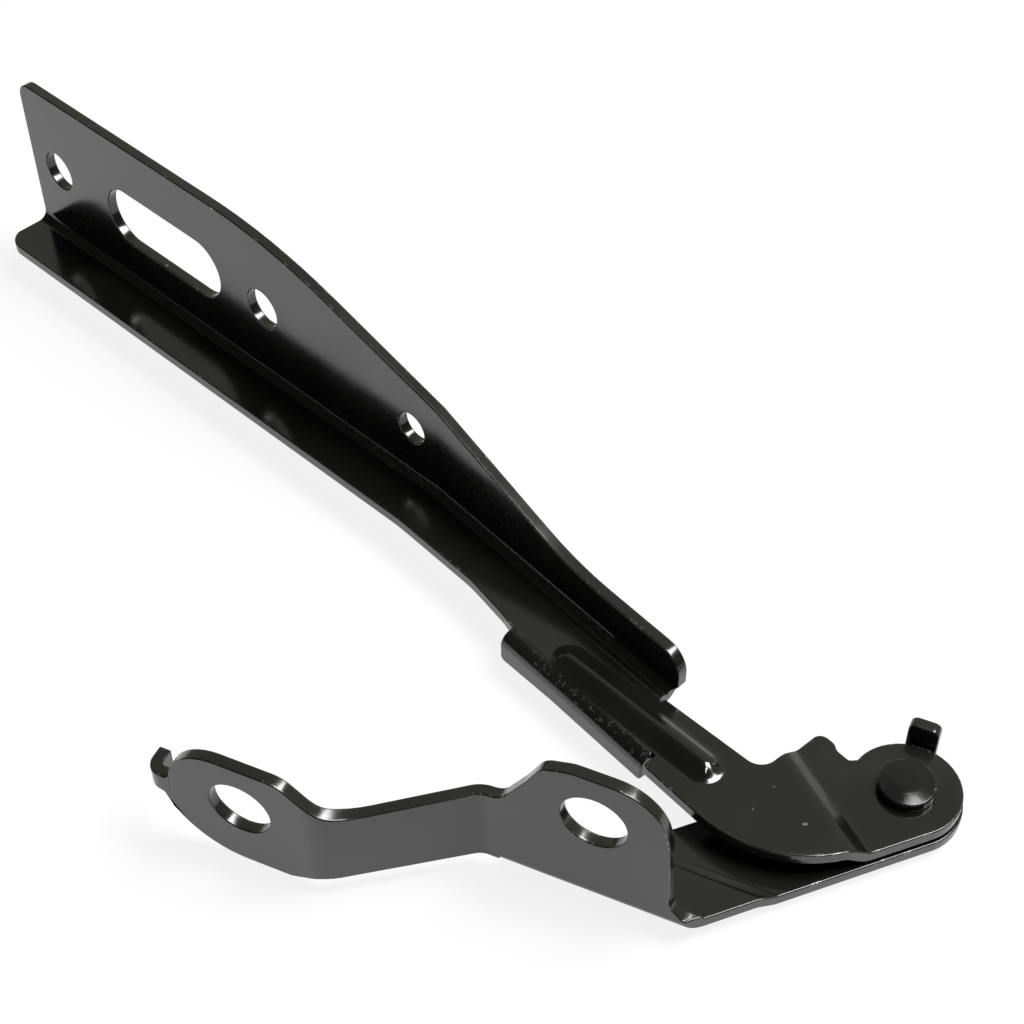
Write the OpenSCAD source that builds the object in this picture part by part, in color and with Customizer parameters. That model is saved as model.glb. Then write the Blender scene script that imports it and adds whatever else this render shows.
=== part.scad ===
// Hood hinge: body bracket and hood arm, two folded sheets on one rivet.
// Origin: centre of the bracket hole beside the pivot, on the seat face.
// +X runs along the bracket seat, +Y goes from the seat to the hood flange,
// +Z is the pivot axis, towards the rivet head. Sizes in mm.

/* [Sheet] */
// Thickness of both folded sheets
sheet_t = 2.5; // [2:0.1:2.7]
// Small bend radius, inside the sheet
bend_in_r = 1; // [0.6:0.1:1.4]
// Angle covered by one facet of a rounded sheet edge
arc_step = 9; // [6:1:15]

/* [Bracket seat] */
// Radius of both bracket holes
seat_hole_r = 6.3; // [5.5:0.1:7]
// Distance between the bracket holes along X
seat_hole_dx = 61.2; // [58:0.2:66]
// Height of the outer bracket hole
outer_hole_z = -8.9; // [-9.6:0.1:-8]
// How far the outer pad lies in front of the inner one
pad_step = 17.3; // [14:0.1:19]
// Left end of the slanted wall between the pads
slant_left_x = -45; // [-46:0.1:-43.5]
// Right end of the slanted wall between the pads
slant_right_x = -21.5; // [-23:0.1:-20]
// Outside radius of the bend between outer pad and slanted wall
slant_outer_r = 9; // [6:0.2:12]
// Inside radius of the bend between slanted wall and inner pad
slant_inner_r = 4; // [2:0.2:6]
// Left end of the outer pad, outside of the end tab
tab_x = -81.3; // [-84:0.1:-80.5]
// Depth of the end tab along Y
tab_depth = 5.9; // [5:0.1:9]
// Outside radius of the end tab's bend
tab_bend_r = 3.4; // [3:0.1:4]
// Middle height and half width of the end tab
tab_z = -10.2; // [-10.6:0.1:-9]
tab_half = 2.2; // [1.5:0.1:2.6]
// Edge radius of the outer pad round its hole
outer_pad_r = 15.6; // [12:0.1:16.5]

/* [Bracket plate] */
// Height of the plate's top beside the seat
plate_top_z = -20.4; // [-21:0.1:-19.8]
// Outside radius of the bend from seat to plate
plate_bend_r = 2.9; // [2.8:0.1:3.4]
// Left end of the bend from seat to plate
plate_left_x = -18; // [-19:0.1:-16]
// Drop of the plate towards the pivot
plate_step = 1; // [0.7:0.1:1.5]
// Distance behind the seat at which the drop starts
plate_step_y = 10.3; // [8:0.1:11]
// Length of the drop along Y
plate_ramp = 2.5; // [2.3:0.1:4]
// Edge radius of the plate round the pivot
plate_end_r = 11; // [10.8:0.1:11.6]
// Width of the plate's strap, and heading of its edges
strap_w = 20.3; // [18:0.1:21.2]
strap_turn = 45.3; // [44:0.1:47]
// Width of the stop tab, and its place right of the pivot
stop_w = 6; // [5:0.1:8]
stop_dx = -0.3; // [-1:0.1:1]
// Height of the stop tab's top over the plate beside it
stop_rise = 7.8; // [7:0.1:11]
// Gap between the hood arm's round edge and the stop tab
stop_gap = 0.4; // [0.4:0.1:1.2]

/* [Pivot] */
// Place of the pivot
pivot_x = 45.4; // [44.6:0.1:47]
pivot_y = 43.2; // [42.4:0.1:46]
// Radius of the rivet shank
shank_r = 3.9; // [3.4:0.05:4.2]
// Wall of the bush in the hood arm
bush_wall = 0.9; // [0.7:0.05:1.1]
// Running clearance between shank and bush
pivot_clear = 0.05; // [0.02:0.01:0.09]
// Radius and height of the rivet head
head_r = 5.5; // [5.2:0.1:6.4]
head_h = 2.5; // [2:0.1:3]
// Radius and height of the rivet's closed end
tail_r = 5.8; // [5.2:0.1:6.4]
tail_h = 2.2; // [1.6:0.1:3]
// Thickness and radius of the washer under the hood arm
washer_t = 0.6; // [0.4:0.05:0.9]
washer_r = 8.6; // [7:0.1:9.2]
// Axial clearance of the hood arm between washer and head
end_play = 0.05; // [0.03:0.01:0.1]

/* [Hood arm] */
// Turn of the hood flange from the bracket seat, seen from above
arm_turn = 25.2; // [24:0.1:27]
// Edge radius of the ear round the pivot
ear_r = 10.6; // [9.8:0.1:10.7]
// Rise from the ear to the web
web_rise = 2.7; // [2:0.1:3.2]
// Distance of the rise from the pivot, and its length
rise_d = 14.5; // [13.6:0.1:15.4]
rise_l = 4; // [3.6:0.1:5]
// Radius inside the two bends of the rise
rise_in_r = 2.5; // [1:0.1:3]
// Turn of the rise from square to the ear's straight edge
rise_turn = 4.3; // [3.5:0.1:6]
// Distance from the pivot to the front face of the hood flange
flange_b = 18.4; // [18:0.1:19.5]
// Right end of the hood flange, measured from the pivot
flange_end = 42.4; // [41:0.1:44]
// Length of the flange's right part, from its end to the kink
flange_right_l = 73; // [71:0.5:78]
// Length of the flange's left part, from the kink to its end
flange_left_l = 140.8; // [138:0.2:160]
// Turn of the flange at the kink
kink = 5.4; // [3:0.1:7]
// Radius inside the bend from web to flange
web_bend_in_r = 2.5; // [1.5:0.1:3]
// Start and foot of the slope in the flange's top edge
crest_s = 88.8; // [82:0.2:96]
foot_s = 182.4; // [172:0.2:188]
// Height of the flange's high part and of its low end
flange_high_z = 23.7; // [21.5:0.1:28]
flange_low_z = -5.8; // [-6.6:0.1:-5]
// Heading of the ear's straight edge from the flange
ear_turn = 70.2; // [68:0.1:72]
// Width of the web in front of the flange's left part
web_w = 11.8; // [11:0.1:13]
// Height of the web's front lip, and how much deeper its left end is
lip_h = 6.2; // [5:0.1:6.6]
lip_drop = 0.9; // [0.5:0.1:2]
// Radius inside the bend from web to lip
lip_in_r = 0.5; // [0.4:0.05:0.6]
// Left and right end of the lip, measured from the pivot
lip_left = 76.2; // [74:0.1:80]
lip_right = 35.3; // [34.5:0.1:37]
// Distance from the pivot to the lip's front face
lip_b = 34.6; // [34.2:0.1:35.2]

/* [Hood holes] */
// Radius of the two large hood holes and of the small one
hood_hole_r = 4.9; // [4:0.1:5.5]
small_hole_r = 3.8; // [3:0.1:4.4]
// Distance of the hood holes from the flange's left end
hole_a_s = 10.6; // [9.5:0.1:14]
hole_b_s = 85.3; // [82:0.1:92]
hole_c_s = 132.8; // [128:0.1:134]
// Height of the large hood holes and of the small one
hood_hole_z = 3.1; // [1:0.1:6]
small_hole_z = -2.2; // [-4:0.1:-1.8]
// Slot from end to end, its middle height and its width
slot_from_s = 30; // [24:0.1:40]
slot_to_s = 70.8; // [60:0.1:74]
slot_z = 2.8; // [1.5:0.1:6]
slot_w = 15; // [10:0.1:16]

/* [Bead] */
// Left and right end of the bead on the web, measured from the pivot
bead_left = 62.2; // [58:0.1:63]
bead_right = 26.8; // [24:0.1:30]
// Distance from the pivot to the bead's left and right end across the web
bead_left_b = 28.5; // [28:0.1:29]
bead_right_b = 26.4; // [26:0.1:29]
// Radius of the bead's crown, and height over the web
bead_r = 3.4; // [3:0.1:3.6]
bead_h = 1.6; // [1:0.1:1.8]

/* [Hidden] */
$fn = 64;
plate_bottom = plate_top_z - sheet_t;
far_plate_top = plate_top_z - plate_step;
far_plate_bottom = far_plate_top - sheet_t;
ear_bottom = far_plate_top + washer_t + end_play;
ear_top = ear_bottom + sheet_t;
web_top = ear_top + web_rise;
web_bottom = web_top - sheet_t;
bend_out_r = bend_in_r + sheet_t;
web_bend_r = web_bend_in_r + sheet_t;
bush_r = shank_r + pivot_clear + bush_wall;
stop_y = pivot_y + ear_r + stop_gap;
kink_a = -flange_end - flange_right_l;
lip_bend_r = lip_in_r + sheet_t;
reach = 400;
low = -60;
cut = 1;
deep = 20;
// A straight edge runs this deep inside the round end it leads to
tuck = 0.02;

function unit(v) = v / norm(v);
function left_of(v) = [-v.y, v.x];
function wrap(a) = a > 180 ? a - 360 : a < -180 ? a + 360 : a;
function heading(v) = atan2(v.y, v.x);

// One corner of an outline, rounded with a true tangent arc
function corner(a, b, c, r) =
    let (
        u = unit(a - b),
        v = unit(c - b),
        half = acos(max(-1, min(1, u * v))) / 2,
        run = r / tan(half),
        mid = b + unit(u + v) * (r / sin(half)),
        first = heading(b + u * run - mid),
        sweep = wrap(heading(b + v * run - mid) - first),
        n = ceil(abs(sweep) / min(arc_step, 28 / sqrt(r)))
    )
    [for (i = [0 : n]) mid + r * [cos(first + sweep * i / n), sin(first + sweep * i / n)]];

// Outline from corners given as [x, y] or [x, y, radius]
function rounded(p) =
    let (n = len(p), q = [for (c = p) [c.x, c.y]])
    [for (i = [0 : n - 1])
        each p[i][2] == undef ? [q[i]] : corner(q[(i + n - 1) % n], q[i], q[(i + 1) % n], p[i][2])];

// Left side of a path one sheet thickness away, with matching bend radii
function left_corner(p, i) =
    let (
        b = [p[i].x, p[i].y],
        u = i == 0 ? undef : left_of(unit(b - [p[i - 1].x, p[i - 1].y])),
        v = i == len(p) - 1 ? undef : left_of(unit([p[i + 1].x, p[i + 1].y] - b))
    )
    u == undef ? b + v * sheet_t
    : v == undef ? b + u * sheet_t
    : let (m = b + (u + v) * sheet_t / (1 + u * v), turn = u.x * v.y - u.y * v.x)
      [m.x, m.y, p[i][2] - sign(turn) * sheet_t];

// Section of a folded sheet: the path is its right side
function folded(p) = rounded(concat(p, [for (i = [len(p) - 1 : -1 : 0]) left_corner(p, i)]));

// Section in X and Z, extruded along Y through the part
module along_y(points, from = -reach, to = reach) {
    translate([0, to, 0])
        rotate([90, 0, 0])
            linear_extrude(height = to - from)
                polygon(points);
}

// Section in Y and Z, extruded along X
module along_x(points, from, to) {
    translate([from, 0, 0])
        rotate([90, 0, 90])
            linear_extrude(height = to - from)
                polygon(points);
}

module plan(points, from = low, to = -low) {
    translate([0, 0, from])
        linear_extrude(height = to - from)
            polygon(points);
}

module hole_y(x, z, r) {
    translate([x, 0, z])
        rotate([90, 0, 0])
            cylinder(r = r, h = deep, center = true);
}

// Place along X of the strap's edge line at that distance from the pivot
strap_side = [cos(strap_turn - 90), sin(strap_turn - 90)];
function strap_x(d, y) = pivot_x + d * strap_side.x + (y - pivot_y - d * strap_side.y) / tan(strap_turn);
strap_front = strap_x(plate_end_r, 0);

// Front path of the seat: end tab, outer pad, slanted wall, inner pad
seat_path = [
    [tab_x, tab_depth - pad_step],
    [tab_x, -pad_step, tab_bend_r],
    [slant_left_x, -pad_step, slant_outer_r],
    [slant_right_x, 0, slant_inner_r],
    [strap_front + deep, 0]
];
seat_lip_z = plate_bottom + plate_bend_r;
outer_pad_side = -seat_hole_dx - outer_pad_r;
outer_pad_low = outer_hole_z - outer_pad_r;
outer_pad_top = outer_hole_z + 11.4;
inner_pad_top = 11.6;
wall_low = plate_bottom + 1.3;
seat_outline = [
    [tab_x - cut, tab_z + tab_half],
    [outer_pad_side + 0.8, tab_z + tab_half, 1],
    [outer_pad_side + 0.8, outer_pad_top, 11],
    [slant_left_x - 7.5, outer_pad_top, 6],
    [slant_left_x + 2, -4.8, 12],
    [slant_right_x - 5, -3.8, 8],
    [-17.9, -3.3, 4],
    [-13.2, 4, 5],
    [-10, 9.9, 4],
    [-4.5, inner_pad_top, 6],
    [11.9, inner_pad_top, 10.5],
    [14.1, 0.5, 8],
    [14.8, -16.9, 3],
    [strap_front - 0.2, seat_lip_z],
    [plate_left_x, seat_lip_z],
    [plate_left_x, wall_low],
    [slant_left_x, wall_low - 0.2, 8],
    [slant_left_x - 7, outer_pad_low + 0.2, 3],
    [outer_pad_side + 3.9, outer_pad_low, outer_pad_r + 1.2],
    [outer_pad_side - 0.7, tab_z - tab_half, 1],
    [tab_x - cut, tab_z - tab_half]
];

module seat() {
    intersection() {
        plan(folded(seat_path));
        along_y(rounded(seat_outline));
    }
}

// Section of the plate in Y and Z: bend below the seat, plate, drop to the pivot
plate_path = [
    [0, seat_lip_z + 0.5],
    [0, plate_bottom, plate_bend_r],
    [plate_step_y, plate_bottom, bend_in_r],
    [plate_step_y + plate_ramp, far_plate_bottom, bend_out_r],
    [pivot_y + 2 * plate_end_r, far_plate_bottom]
];
plate_back_y = plate_bend_r + 2.5;
pivot = [pivot_x, pivot_y];
plate_outline = [
    [plate_left_x, -cut],
    [strap_x(plate_end_r - tuck, -cut), -cut],
    pivot + (plate_end_r - tuck) * strap_side,
    pivot + (plate_end_r - strap_w) * strap_side,
    [strap_x(plate_end_r - strap_w, plate_back_y), plate_back_y, 8],
    [plate_left_x, plate_back_y, 2]
];

module plate() {
    intersection() {
        along_x(folded(plate_path), plate_left_x - cut, pivot_x + 2 * plate_end_r);
        union() {
            plan(rounded(plate_outline));
            translate([pivot_x, pivot_y, low])
                cylinder(r = plate_end_r, h = -low);
        }
    }
}

stop_from = pivot_x + stop_dx - stop_w / 2;
stop_to = stop_from + stop_w;
stop_top = far_plate_top + stop_rise;
stop_path = [
    [pivot_y, far_plate_bottom],
    [stop_y + sheet_t, far_plate_bottom, bend_out_r],
    [stop_y + sheet_t, stop_top]
];
stop_outline = [
    [stop_from, low],
    [stop_to, low],
    [stop_to, stop_top, 1.5],
    [stop_from, stop_top, 1.5]
];

module stop_tab() {
    intersection() {
        along_x(folded(stop_path), stop_from, stop_to);
        along_y(rounded(stop_outline));
    }
}

module body_bracket() {
    color("#202020") {
        difference() {
            union() {
                seat();
                plate();
                stop_tab();
            }
            hole_y(0, 0, seat_hole_r);
            translate([0, -pad_step, 0])
                hole_y(-seat_hole_dx, outer_hole_z, seat_hole_r);
            translate([pivot_x, pivot_y, far_plate_bottom - cut])
                cylinder(r = shank_r, h = sheet_t + 2 * cut);
        }
    }
}

module in_arm() {
    translate([pivot_x, pivot_y, 0])
        rotate([0, 0, -arm_turn])
            children();
}

// Frames on the flange's front face at the kink, X along the flange
module at_kink(turn) {
    translate([kink_a, -flange_b, 0])
        rotate([0, 0, turn])
            children();
}

// Point of the flange's left part in the arm's plan
function left_point(x, y) =
    [kink_a + x * cos(kink) - y * sin(kink), x * sin(kink) + y * cos(kink) - flange_b];

web_back = -flange_b - web_bend_in_r;
web_edge = -flange_b - 0.5;
web_relief = 1.4;
web_relief_a = -flange_end - web_relief + 0.6;
ear_side = [cos(ear_turn - 90), sin(ear_turn - 90)];
ear_edge = (ear_r - tuck) * ear_side;
web_front = -lip_b - 0.4;
ear_front_a = ear_edge.x + (web_front - ear_edge.y) / tan(ear_turn);
lip_start = -lip_b + lip_bend_r;
bump_a = -19.5;
bump_b = -2.35;
notch_b = -3.2;
near_kink = [kink_a + web_w * tan(kink / 2), -flange_b - web_w + 0.1];
near_widest = [-lip_left - 15.3, -29.6];
near_joint = near_kink + (near_widest - near_kink) * 0.7;
web_outline = [
    near_joint,
    concat(near_widest, 30),
    [-lip_left - 4, -30.7, 9],
    [-lip_left + 0.8, lip_start],
    [-lip_right + 0.8, lip_start, 0.5],
    [-lip_right + 0.8, web_front, 1],
    [ear_front_a, web_front, 26],
    ear_edge,
    [0, 0],
    [1 - ear_r, -0.8],
    [-0.8 - ear_r, notch_b, 0.9],
    [-14.4, notch_b, 2],
    [-15.8, bump_b, 1.5],
    [bump_a, bump_b, 2],
    [bump_a + 0.3, web_edge, 3.6],
    [web_relief_a, web_back, 0.5],
    [web_relief_a, web_back - cut],
    [near_joint.x - 2, web_back - cut]
];

// Section of the web square to the rise between ear and web
web_path = [
    [-2 * ear_r, ear_bottom],
    [rise_d, ear_bottom, rise_in_r + sheet_t],
    [rise_d + rise_l, web_bottom, rise_in_r],
    [reach, web_bottom]
];

module web() {
    intersection() {
        union() {
            plan(rounded(web_outline));
            translate([0, 0, low])
                cylinder(r = ear_r, h = -low);
        }
        rotate([0, 0, ear_turn + rise_turn + 90])
            along_x(folded(web_path), -reach, reach);
    }
}

// Flange and web as one folded block, less the space above the web.
// Left and right part are cut from each other, so the kink is one clean mitre.
web_far = -web_w - 2 * deep;
block_outline = [
    [web_far, web_bottom],
    [sheet_t, web_bottom, web_bend_r],
    [sheet_t, flange_high_z + deep],
    [web_far, flange_high_z + deep]
];
space_outline = [
    [web_far - cut, web_top],
    [0, web_top, web_bend_in_r],
    [0, flange_high_z + deep + cut],
    [web_far - cut, flange_high_z + deep + cut]
];

module kinked(outline) {
    intersection() {
        at_kink(kink)
            along_x(rounded(outline), -reach, reach);
        at_kink(0)
            along_x(rounded(outline), -reach, reach);
    }
}

// Outline of the flange from its front, and of its web strip from above
flange_end_x = flange_right_l * cos(kink);
flange_outline = [
    [-flange_left_l, low],
    [flange_end_x - web_relief, low],
    [flange_end_x - web_relief, web_top + 0.4, 1],
    [flange_end_x, web_top + 1.8, 0.6],
    [flange_end_x, flange_low_z, 5],
    [foot_s - flange_left_l, flange_low_z, 60],
    [crest_s - flange_left_l, flange_high_z, 130],
    [-flange_left_l, flange_high_z, 4]
];
strip_outline = [
    concat(left_point(-flange_left_l - 0.3, -web_w - 0.4), 5.5),
    concat(near_kink, 60),
    near_joint,
    [near_joint.x + 4, web_back - 3],
    [-flange_end + deep, web_back - 3],
    [-flange_end + deep, deep],
    left_point(-flange_left_l - 0.3, 3 * deep)
];

module flange() {
    intersection() {
        difference() {
            kinked(block_outline);
            kinked(space_outline);
        }
        at_kink(kink)
            along_y(rounded(flange_outline), -3 * deep, 3 * deep);
        plan(rounded(strip_outline));
    }
}

lip_path = [
    [lip_start + cut, web_top],
    [-lip_b, web_top, lip_bend_r],
    [-lip_b, web_top - lip_h - lip_drop - cut]
];
lip_low = web_top - lip_h;
lip_outline = [
    [-lip_left, lip_low - lip_drop, 1],
    [-lip_left + 15, lip_low, 30],
    [-lip_right, lip_low, 1],
    [-lip_right, web_top + cut],
    [-lip_left, web_top + cut]
];

module lip() {
    intersection() {
        along_x(folded(lip_path), -lip_left - cut, cut - lip_right);
        along_y(rounded(lip_outline));
    }
}

bead_groove_r = bead_h + 0.6;
bead_from = [-bead_left, -bead_left_b];
bead_to = [-bead_right, -bead_right_b];

// Crown of a bead over its base: an arc of that radius and height
function crown_angle(r, h) = acos((r - h) / r);
function crown_point(r, h, a) = [r * sin(a), r * cos(a) + h - r];
function crown_half(r, h) = crown_point(r, h, crown_angle(r, h)).x;
function crown_arc(r, h, side, shift) =
    let (top = crown_angle(r, h), n = ceil(top / arc_step))
    [for (i = [0 : n])
        let (p = crown_point(r, h, top * i / n))
        [shift + side * p.x, p.y]];
function backwards(p) = [for (i = [len(p) - 1 : -1 : 0]) p[i]];

// A bead with round ends on a base at height z, sunk a little into it
module bead(r, h, z) {
    l = norm(bead_to - bead_from);
    w = crown_half(r, h);
    sunk = [0, -0.2];
    across = concat([[w, 0] + sunk], backwards(crown_arc(r, h, 1, 0)), crown_arc(r, h, -1, 0), [[-w, 0] + sunk]);
    along = concat([[l + w, 0] + sunk], backwards(crown_arc(r, h, 1, l)), crown_arc(r, h, -1, 0), [[-w, 0] + sunk]);
    translate([bead_from.x, bead_from.y, z]) {
        rotate([0, 0, heading(bead_to - bead_from)]) {
            intersection() {
                along_x(across, -w, l + w);
                along_y(along, -w, w);
                plan(rounded([[-w, -w, w], [l + w, -w, w], [l + w, w, w], [-w, w, w]]), -cut, h + cut);
            }
        }
    }
}

slot_r = slot_w / 2;

module hood_holes() {
    hole_y(hole_a_s - flange_left_l, hood_hole_z, hood_hole_r);
    hole_y(hole_b_s - flange_left_l, hood_hole_z, hood_hole_r);
    hole_y(hole_c_s - flange_left_l, small_hole_z, small_hole_r);
    hole_y(slot_from_s + slot_r - flange_left_l, slot_z, slot_r);
    hole_y(slot_to_s - slot_r - flange_left_l, slot_z, slot_r);
    translate([slot_from_s + slot_r - flange_left_l, -deep / 2, slot_z - slot_r])
        cube([slot_to_s - slot_from_s - slot_w, deep, slot_w]);
}

module hood_arm() {
    color("#1a1a1a") {
        in_arm() {
            difference() {
                union() {
                    web();
                    flange();
                    lip();
                    bead(bead_r, bead_h, web_top);
                }
                bead(bead_groove_r, bead_h, web_bottom);
                at_kink(kink)
                    hood_holes();
                translate([0, 0, ear_bottom - cut])
                    cylinder(r = bush_r, h = sheet_t + 2 * cut);
            }
        }
    }
}

// Half section of the rivet head
head_outline = [
    [0, 0],
    [head_r - 0.2, 0],
    [head_r, 0.2],
    [head_r, head_h * 0.78, 0.4],
    [head_r * 0.4, head_h, 9],
    [0, head_h]
];
tail_outline = [
    [0, 0],
    [0, -tail_h],
    [tail_r * 0.55, -tail_h, 3],
    [tail_r, -tail_h * 0.5, 0.8],
    [tail_r, 0]
];

module pivot_rivet() {
    color("#2c2c2a") {
        translate([pivot_x, pivot_y, ear_top + end_play])
            rotate_extrude()
                polygon(rounded(head_outline));
        translate([pivot_x, pivot_y, far_plate_bottom])
            cylinder(r = shank_r, h = ear_top + end_play - far_plate_bottom + head_h / 4);
        translate([pivot_x, pivot_y, far_plate_bottom])
            rotate_extrude()
                polygon(rounded(tail_outline));
    }
}

module pivot_bush() {
    color("#6b6355") {
        translate([pivot_x, pivot_y, ear_bottom]) {
            difference() {
                cylinder(r = bush_r, h = sheet_t);
                translate([0, 0, -cut])
                    cylinder(r = bush_r - bush_wall, h = sheet_t + 2 * cut);
            }
        }
    }
}

module pivot_washer() {
    color("#55554f") {
        translate([pivot_x, pivot_y, far_plate_top]) {
            difference() {
                cylinder(r = washer_r, h = washer_t);
                translate([0, 0, -cut])
                    cylinder(r = shank_r + pivot_clear, h = washer_t + 2 * cut);
            }
        }
    }
}

body_bracket();
hood_arm();
pivot_rivet();
pivot_bush();
pivot_washer();
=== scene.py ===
import bpy
import bmesh
import math
from mathutils import Matrix, Vector
from mathutils.bvhtree import BVHTree


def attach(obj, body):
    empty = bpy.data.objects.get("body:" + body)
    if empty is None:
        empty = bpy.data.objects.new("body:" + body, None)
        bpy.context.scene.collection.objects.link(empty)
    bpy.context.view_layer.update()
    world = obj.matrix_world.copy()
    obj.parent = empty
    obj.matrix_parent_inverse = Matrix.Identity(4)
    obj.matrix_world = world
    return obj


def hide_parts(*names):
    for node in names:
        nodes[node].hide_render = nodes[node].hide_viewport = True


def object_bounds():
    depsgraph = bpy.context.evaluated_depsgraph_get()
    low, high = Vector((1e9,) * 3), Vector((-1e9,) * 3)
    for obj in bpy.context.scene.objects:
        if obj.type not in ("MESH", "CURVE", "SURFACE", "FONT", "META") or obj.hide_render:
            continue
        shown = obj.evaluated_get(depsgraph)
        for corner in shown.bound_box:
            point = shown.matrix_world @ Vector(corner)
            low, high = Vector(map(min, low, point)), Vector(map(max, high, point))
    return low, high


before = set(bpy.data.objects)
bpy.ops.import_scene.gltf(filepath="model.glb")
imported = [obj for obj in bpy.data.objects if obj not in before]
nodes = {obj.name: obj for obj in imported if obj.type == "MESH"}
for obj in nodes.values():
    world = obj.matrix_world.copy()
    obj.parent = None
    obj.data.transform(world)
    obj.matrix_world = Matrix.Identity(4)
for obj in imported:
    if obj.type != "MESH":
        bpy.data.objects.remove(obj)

cadBox = [list(c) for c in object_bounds()]

view = {
    "lens": 67.273,     # mm, for a sensor 36 mm wide
    "place": (0.069302, -0.179990, 0.272145),
    "yaw": -25.01,      # degrees from +Y, towards +X is positive
    "pitch": 45.47,     # degrees below the horizon
    "roll": -0.68,
}


def placeCamera():
    cam = bpy.data.objects.new("camera", bpy.data.cameras.new("camera"))
    bpy.context.collection.objects.link(cam)
    y, p, r = (math.radians(view[k]) for k in ("yaw", "pitch", "roll"))
    ahead = Vector((math.sin(y) * math.cos(p), math.cos(y) * math.cos(p), -math.sin(p)))
    right = Vector((math.cos(y), -math.sin(y), 0))
    up = right.cross(ahead)
    side = right * math.cos(r) + up * math.sin(r)
    top = up * math.cos(r) - right * math.sin(r)
    turn = Matrix((side, top, -ahead)).transposed().to_4x4()
    cam.matrix_world = Matrix.Translation(view["place"]) @ turn
    cam.data.lens = view["lens"]
    cam.data.sensor_width = 36
    cam.data.clip_start = 0.01
    cam.data.clip_end = 10
    bpy.context.scene.camera = cam


placeCamera()
print("camera placed")


class Graph:
    # Builds one material's nodes: each call adds a node and returns it.
    def __init__(self, tree):
        self.tree = tree
        tree.nodes.clear()

    def add(self, kind, settings=None, **values):
        node = self.tree.nodes.new(kind)
        for key, value in (settings or {}).items():
            setattr(node, key, value)
        for key, value in values.items():
            self.put(node, key.replace("_", " "), value)
        return node

    def put(self, node, name, value):
        socket = node.inputs[int(name) if name.isdigit() else name]
        if isinstance(value, bpy.types.NodeSocket):
            self.tree.links.new(value, socket)
        else:
            socket.default_value = value

    def math(self, operation, a, b=0.0, clamp=False):
        node = self.add("ShaderNodeMath", {"operation": operation, "use_clamp": clamp})
        self.put(node, "0", a)
        self.put(node, "1", b)
        return node.outputs[0]

    def span(self, value, low, high, start=0.0, end=1.0):
        node = self.add("ShaderNodeMapRange", {"clamp": True})
        names = ("Value", "From Min", "From Max", "To Min", "To Max")
        for name, v in zip(names, (value, low, high, start, end)):
            self.put(node, name, v)
        return node.outputs[0]

    def mix(self, factor, a, b):
        node = self.add("ShaderNodeMix", {"data_type": "RGBA"})
        self.put(node, "0", factor)
        self.put(node, "6", a)
        self.put(node, "7", b)
        return node.outputs[2]

    def noise(self, where, scale, detail=2.0, rough=0.5):
        node = self.add("ShaderNodeTexNoise", Vector=where, Scale=scale, Detail=detail,
                        Roughness=rough)
        return node.outputs[0]


# 1 on the line between two points, falling to 0 at that distance from it
def lineNear(g, where, mark):
    start, end = Vector(mark["from"]), Vector(mark["to"])
    line = end - start

    def vector(operation, a, b):
        node = g.add("ShaderNodeVectorMath", {"operation": operation})
        g.put(node, "0", a)
        g.put(node, "Scale" if operation == "SCALE" else "1", b)
        return node

    away = vector("SUBTRACT", where, start).outputs[0]
    reach = vector("DOT_PRODUCT", away, line).outputs["Value"]
    along = g.math("DIVIDE", reach, line.length_squared)
    foot = vector("SCALE", line, g.math("ADD", along, 0.0, True)).outputs[0]
    gap = vector("LENGTH", vector("SUBTRACT", away, foot).outputs[0], (0, 0, 0)).outputs["Value"]
    return g.span(gap, mark["width"], 0.25 * mark["width"])


# How near a point lies to a sharp edge: 0 on a flat face, up to 1 on the edge
def edgeNear(g, radius, low, high):
    rounded = g.add("ShaderNodeBevel", {"samples": 4}, Radius=radius)
    flat = g.add("ShaderNodeNewGeometry")
    dot = g.add("ShaderNodeVectorMath", {"operation": "DOT_PRODUCT"})
    g.put(dot, "0", rounded.outputs[0])
    g.put(dot, "1", flat.outputs["True Normal"])
    return g.span(dot.outputs["Value"], 1 - low, 1 - high)


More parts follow.
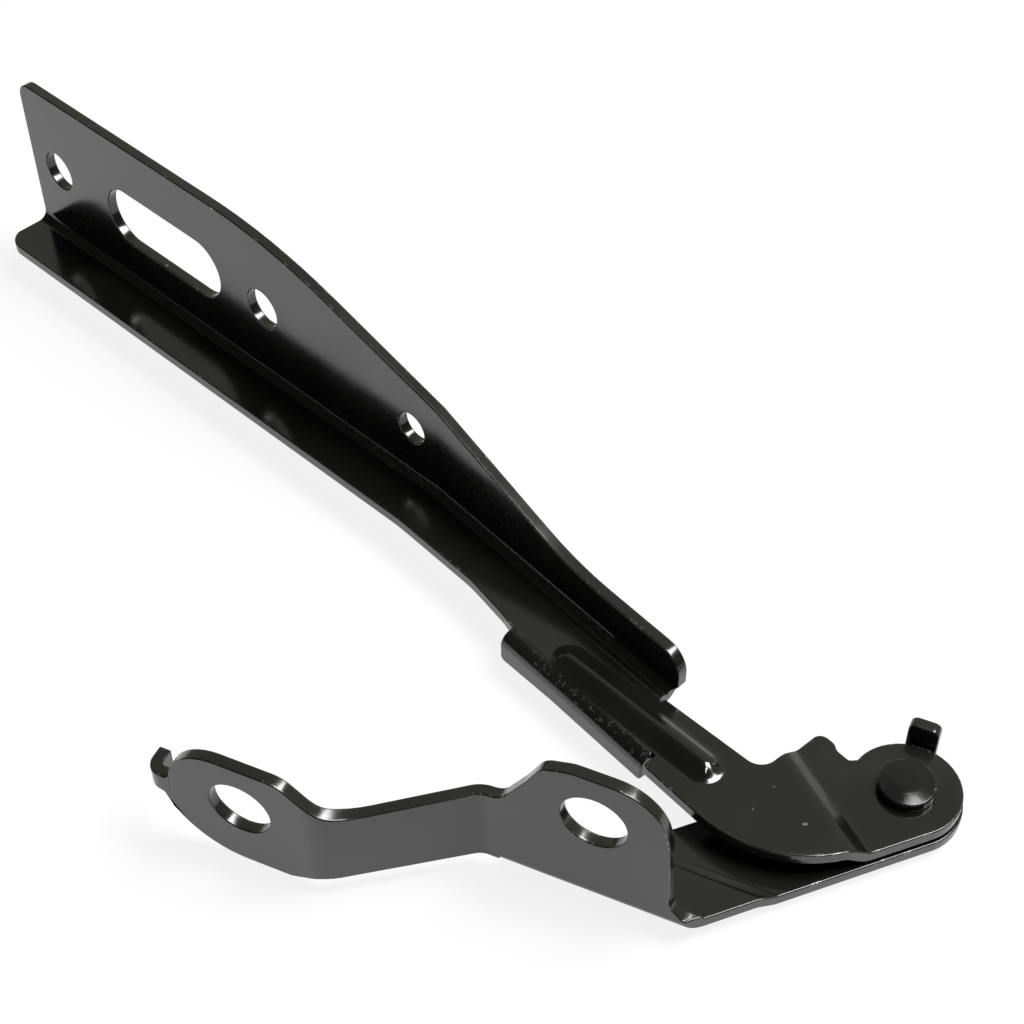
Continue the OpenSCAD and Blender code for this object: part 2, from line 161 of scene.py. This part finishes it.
def finishMaterial(name, values):
    material = bpy.data.materials.new(name)
    material.use_nodes = True
    g = Graph(material.node_tree)
    where = g.add("ShaderNodeTexCoord").outputs["Object"]
    # Wide clouds and finer streaks in the gloss, peel and grit in the coat's surface
    cloud = g.noise(where, values["cloudScale"], 3.0, 0.55)
    streak = g.noise(where, values["cloudScale"] * 7, 3.0, 0.6)
    peel = g.noise(where, values["peelScale"], 2.0, 0.5)
    grit = g.noise(where, values["peelScale"] * 5, 2.0, 0.6)

    # Bare metal: chips along the edges, partly real wear and partly painted edge glints, a few
    # specks, and the worn lines and spots
    edge = edgeNear(g, values["edgeRadius"], 0.02, 0.2)
    chipGlintNoise = g.noise(where, values["chipGlintScale"], 4.0, 0.65)
    patch = g.noise(where, values["patchScale"], 1.0, 0.5)
    chipGlintLimit = g.span(patch, 0.45, 0.7, values["chipGlintRare"], values["chipGlintOften"])
    # the edge chips paint light grey metal where the coat's edges glint, as well as where they
    # are worn
    chipAndGlint = g.math("MULTIPLY", edge, g.math("GREATER_THAN", chipGlintNoise, chipGlintLimit))
    speckCell = g.add("ShaderNodeTexVoronoi", Vector=where, Scale=values["speckScale"])
    speckChance = g.add("ShaderNodeSeparateColor", Color=speckCell.outputs["Color"]).outputs[0]
    speckOn = g.math("GREATER_THAN", speckChance, values["speckLimit"])
    speckSize = values["speckSize"]
    speckSpot = g.span(speckCell.outputs["Distance"], speckSize, 0.4 * speckSize)
    speck = g.math("MULTIPLY", speckOn, speckSpot)
    bareAndGlint = g.math("MAXIMUM", chipAndGlint, speck)
    scratchNoise = g.noise(where, values["scratchScale"], 3.0, 0.6)
    for mark in values["scuffs"]:
        scratched = g.math("GREATER_THAN", scratchNoise, mark["limit"])
        worn = g.math("MULTIPLY", lineNear(g, where, mark), scratched)
        bareAndGlint = g.math("MAXIMUM", bareAndGlint, g.math("MULTIPLY", worn, mark["strength"]))
    coat = g.mix(g.span(cloud, 0.35, 0.65), values["coatDark"], values["coatLight"])
    # the bare colour mixed in here is painted glint on the edge chips as well as bare metal
    color = g.mix(bareAndGlint, coat, values["bareAndGlintColor"])
    gloss = g.math("ADD", cloud, g.math("MULTIPLY", streak, 0.4))
    rough = g.span(gloss, 0.5, 0.9, values["roughLow"], values["roughHigh"])
    rough = g.math("ADD", rough, g.math("MULTIPLY", edge, values["edgeRough"]))
    height = g.math("ADD", peel, g.math("MULTIPLY", grit, 0.25))
    height = g.math("SUBTRACT", height, g.math("MULTIPLY", bareAndGlint, 0.8))
    bump = g.add("ShaderNodeBump", Strength=values["bump"], Distance=values["bumpDepth"],
                 Height=height)
    shade = g.add("ShaderNodeBsdfPrincipled", Base_Color=color, Roughness=rough,
                  Normal=bump.outputs[0])
    metal = values["metal"] or g.math("MULTIPLY", bareAndGlint, values["bareAndGlintMetal"])
    g.put(shade, "Metallic", metal)
    g.put(shade, "Specular IOR Level", values["shine"])
    g.add("ShaderNodeOutputMaterial", Surface=shade.outputs[0])
    material.diffuse_color = values["coatDark"]
    return material


blackCoat = {
    "coatDark": (0.0052, 0.0053, 0.0048, 1),
    "coatLight": (0.0082, 0.0082, 0.0076, 1),
    "roughLow": 0.12,
    "roughHigh": 0.19,
    "shine": 0.77,
    "metal": 0,
    "bump": 0.08,
    "bumpDepth": 0.00006,
    "cloudScale": 45,
    "peelScale": 700,
    "edgeRadius": 0.001,
    "edgeRough": 0.14,
    "chipGlintScale": 900,
    "patchScale": 120,
    "chipGlintRare": 0.68,
    "chipGlintOften": 0.52,
    "speckScale": 190,
    "speckLimit": 0.93,
    "speckSize": 0.07,
    # light grey of the bare metal, which on the edge chips is also painted edge glint
    "bareAndGlintColor": (0.42, 0.42, 0.41, 1),
    "bareAndGlintMetal": 0.85,
    "scratchScale": 1400,
    "scuffs": [],
}
# Worn lines and spots on the arm, in the frame's metres
armCoat = dict(blackCoat, scuffs=[
    # along the lip's crest, beside the bend of the flange, along the bend of the web, on the ear
    {"from": (-0.0305, 0.0415, -0.0163), "to": (-0.0021, 0.0287, -0.0163),
     "width": 0.0024, "limit": 0.6, "strength": 0.14},
    {"from": (-0.0853, 0.0812, -0.0150), "to": (-0.0669, 0.0759, -0.0150),
     "width": 0.0018, "limit": 0.58, "strength": 0.35},
    {"from": (-0.0498, 0.0678, -0.0150), "to": (-0.0113, 0.0489, -0.0150),
     "width": 0.0007, "limit": 0.6, "strength": 0.35},
    {"from": (0.0310, 0.0258, -0.0155), "to": (0.0314, 0.0260, -0.0155),
     "width": 0.00035, "limit": 0.45, "strength": 0.9},
    {"from": (0.0215, 0.0252, -0.0155), "to": (0.0217, 0.0253, -0.0155),
     "width": 0.0003, "limit": 0.5, "strength": 0.5},
    {"from": (0.0232, 0.0314, -0.0155), "to": (0.0233, 0.0315, -0.0155),
     "width": 0.0003, "limit": 0.5, "strength": 0.4},
])
rivetCoat = dict(
    blackCoat,
    coatDark=(0.006, 0.006, 0.0055, 1),
    coatLight=(0.01, 0.01, 0.009, 1),
    roughLow=0.11,
    roughHigh=0.17,
    shine=0.42,
    chipGlintOften=0.6,
)
bushBronze = dict(
    blackCoat,
    coatDark=(0.3, 0.2, 0.09, 1),
    coatLight=(0.42, 0.3, 0.15, 1),
    bareAndGlintColor=(0.55, 0.42, 0.24, 1),
    roughLow=0.35,
    roughHigh=0.5,
    metal=1,
    shine=0.5,
    speckLimit=0.99,
)
washerSteel = dict(
    bushBronze,
    coatDark=(0.2, 0.2, 0.19, 1),
    coatLight=(0.34, 0.34, 0.33, 1),
    bareAndGlintColor=(0.5, 0.5, 0.49, 1),
)


# A closed copy of a CAD node with its sharp edges rounded
def dressNode(name, body, values, finish):
    mesh = nodes[name].data.copy()
    piece = bpy.data.objects.new(name + "_dressed", mesh)
    bpy.context.collection.objects.link(piece)
    bm = bmesh.new()
    bm.from_mesh(mesh)
    bmesh.ops.remove_doubles(bm, verts=bm.verts, dist=values["merge"])
    shape = BVHTree.FromBMesh(bm)
    bmesh.ops.dissolve_limit(bm, angle_limit=math.radians(values["flat"]), verts=bm.verts,
                             edges=bm.edges)
    sharp = [e for e in bm.edges if len(e.link_faces) == 2 and e.is_convex
             and e.calc_face_angle() > math.radians(values["sharp"])]
    bmesh.ops.bevel(bm, geom=sharp, offset=values["width"], offset_type="OFFSET",
                    affect="EDGES", segments=values["segments"], profile=0.5, material=-1,
                    clamp_overlap=False, loop_slide=False)
    for vert in bm.verts:       # the bevel throws a few corners off the sheet: back onto it
        near, _, _, gap = shape.find_nearest(vert.co)
        if gap > values["stray"]:
            vert.co = near
    for face in bm.faces:
        face.smooth = True
    bm.to_mesh(mesh)
    bm.free()
    mesh.materials.clear()
    mesh.materials.append(finish)
    weighted = piece.modifiers.new("weighted", "WEIGHTED_NORMAL")
    weighted.keep_sharp = True
    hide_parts(name)
    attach(piece, body)
    print(name, "dressed with", len(mesh.polygons), "faces")
    return piece


sheetEdges = {
    "merge": 0.00002,
    "flat": 0.4,                # degrees under which two faces become one
    "sharp": 40,                # degrees over which an edge is rounded
    "width": 0.00028,
    "segments": 3,
    "stray": 0.00013,
}
smallEdges = dict(sheetEdges, width=0.00012, segments=2, stray=0.00008)

blackFinish = finishMaterial("blackCoat", blackCoat)
dressNode("body_bracket", "bracket", sheetEdges, blackFinish)
armFinish = finishMaterial("armCoat", armCoat)
dressNode("hood_arm", "arm", sheetEdges, armFinish)
rivetFinish = finishMaterial("rivetCoat", rivetCoat)
bushFinish = finishMaterial("bushBronze", bushBronze)
washerFinish = finishMaterial("washerSteel", washerSteel)
dressNode("pivot_rivet", "bracket", smallEdges, rivetFinish)
dressNode("pivot_bush", "arm", smallEdges, bushFinish)
dressNode("pivot_washer", "bracket", smallEdges, washerFinish)
print("pieces dressed")

# The long pressed bead: a soft swelling laid over the plain one of the CAD arm
softBead = {
    "pivot": (0.0454, 0.0432),
    "turn": -25.2,                  # degrees from the bracket's seat to the arm
    "left": (-0.0622, -0.0285),     # its ends in the arm's plan, from the pivot
    "right": (-0.0268, -0.0264),
    "base": -0.01555,               # the web's top
    "height": 0.0018,
    "spread": 0.0046,
    "lipStart": -0.0316,            # where the web's top turns down into the lip, and its bend
    "lipBend": 0.003,
    "sink": 0.00004,                # how deep its rim lies in the web
    "step": 0.00025,
}


def buildSoftBead():
    left, right = Vector(softBead["left"]), Vector(softBead["right"])
    along = (right - left).normalized()
    length = (right - left).length
    spread = softBead["spread"]
    reach = length / 2 + spread
    bm = bmesh.new()
    bmesh.ops.create_grid(bm, x_segments=round(2 * reach / softBead["step"]),
                          y_segments=round(2 * spread / softBead["step"]), size=1)
    middle = (left + right) / 2
    heading = Matrix.Rotation(math.atan2(along.y, along.x), 4, "Z")
    inArm = Matrix.Translation((middle.x, middle.y, 0)) @ heading
    lipStart, lipBend = softBead["lipStart"], softBead["lipBend"]
    for vert in bm.verts:
        x, y = vert.co.x * reach, vert.co.y * spread
        away = math.hypot(max(0, abs(x) - length / 2), y)
        rise = math.cos(math.pi / 2 * min(1, away / spread)) ** 2
        over = min(lipBend, max(0, lipStart - (inArm @ Vector((x, y, 0))).y))
        drop = lipBend - math.sqrt(lipBend ** 2 - over ** 2)
        vert.co = (x, y, softBead["height"] * rise - drop - softBead["sink"])
        vert.tag = away < spread
    outside = [f for f in bm.faces if not any(v.tag for v in f.verts)]
    bmesh.ops.delete(bm, geom=outside, context="FACES")
    armTurn = Matrix.Rotation(math.radians(softBead["turn"]), 4, "Z")
    place = Matrix.Translation((*softBead["pivot"], softBead["base"])) @ armTurn @ inArm
    bmesh.ops.transform(bm, matrix=place, verts=bm.verts)
    for face in bm.faces:
        face.smooth = True
    mesh = bpy.data.meshes.new("arm_bead")
    bm.to_mesh(mesh)
    bm.free()
    mesh.materials.append(armFinish)
    piece = bpy.data.objects.new("arm_bead", mesh)
    bpy.context.collection.objects.link(piece)
    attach(piece, "arm")
    print("bead built with", len(mesh.polygons), "faces")


buildSoftBead()

studio = {
    "floorColor": (0.93, 0.93, 0.93, 1),
    "floorGlow": 0.86,          # share of plain white that camera and mirror rays see there
    "floorSize": 0.3,           # half its width; past it the horizon is dark in the coat
    "skyDark": (0.05, 0.05, 0.047, 1),      # overhead, in front and to the left
    "skyBack": (0.34, 0.34, 0.3, 1),        # behind the part
    "lampPlace": (0.35, 0.25, 0.9),
    "lampAim": (-0.02, 0.03, 0),
    "lampSize": 0.5,
    "lampPower": 15.0,
}


# 1 for the rays of the camera, of mirrors and of glass, 0 for the light that falls on the part
def softRays(g):
    rays = g.add("ShaderNodeLightPath")
    either = g.math("ADD", rays.outputs["Is Camera Ray"], rays.outputs["Is Glossy Ray"])
    return g.math("ADD", either, rays.outputs["Is Transmission Ray"], True)


def buildStudio():
    low = cadBox[0][2]
    mesh = bpy.data.meshes.new("floor")
    bm = bmesh.new()
    bmesh.ops.create_grid(bm, x_segments=1, y_segments=1, size=studio["floorSize"])
    bmesh.ops.translate(bm, verts=bm.verts, vec=(0, 0, low))
    bm.to_mesh(mesh)
    bm.free()
    floor = bpy.data.objects.new("floor", mesh)
    bpy.context.collection.objects.link(floor)
    material = bpy.data.materials.new("floor")
    material.use_nodes = True
    g = Graph(material.node_tree)
    plain = g.add("ShaderNodeBsdfDiffuse", Color=studio["floorColor"])
    white = g.add("ShaderNodeEmission", Color=(1, 1, 1, 1), Strength=1.0)
    blend = g.add("ShaderNodeMixShader")
    g.put(blend, "0", g.math("MULTIPLY", softRays(g), studio["floorGlow"]))
    g.put(blend, "1", plain.outputs[0])
    g.put(blend, "2", white.outputs[0])
    g.add("ShaderNodeOutputMaterial", Surface=blend.outputs[0])
    mesh.materials.append(material)

    world = bpy.data.worlds.new("studio")
    bpy.context.scene.world = world
    world.use_nodes = True
    g = Graph(world.node_tree)
    ray = g.add("ShaderNodeTexCoord").outputs["Generated"]
    back = g.add("ShaderNodeSeparateXYZ", Vector=ray).outputs["Y"]
    sky = g.mix(g.span(back, 0.2, 0.55), studio["skyDark"], studio["skyBack"])
    camera = g.add("ShaderNodeLightPath").outputs["Is Camera Ray"]
    seen = g.mix(camera, sky, (1, 1, 1, 1))
    glow = g.add("ShaderNodeBackground", Color=seen, Strength=1.0)
    g.add("ShaderNodeOutputWorld", Surface=glow.outputs[0])

    lamp = bpy.data.lights.new("softbox", "AREA")
    lamp.shape = "SQUARE"
    lamp.size = studio["lampSize"]
    lamp.energy = studio["lampPower"]
    holder = bpy.data.objects.new("softbox", lamp)
    bpy.context.collection.objects.link(holder)
    place = Vector(studio["lampPlace"])
    turn = (Vector(studio["lampAim"]) - place).to_track_quat("-Z", "Y").to_matrix().to_4x4()
    holder.matrix_world = Matrix.Translation(place) @ turn


buildStudio()
bpy.context.scene.view_settings.view_transform = "Standard"
print("studio built")
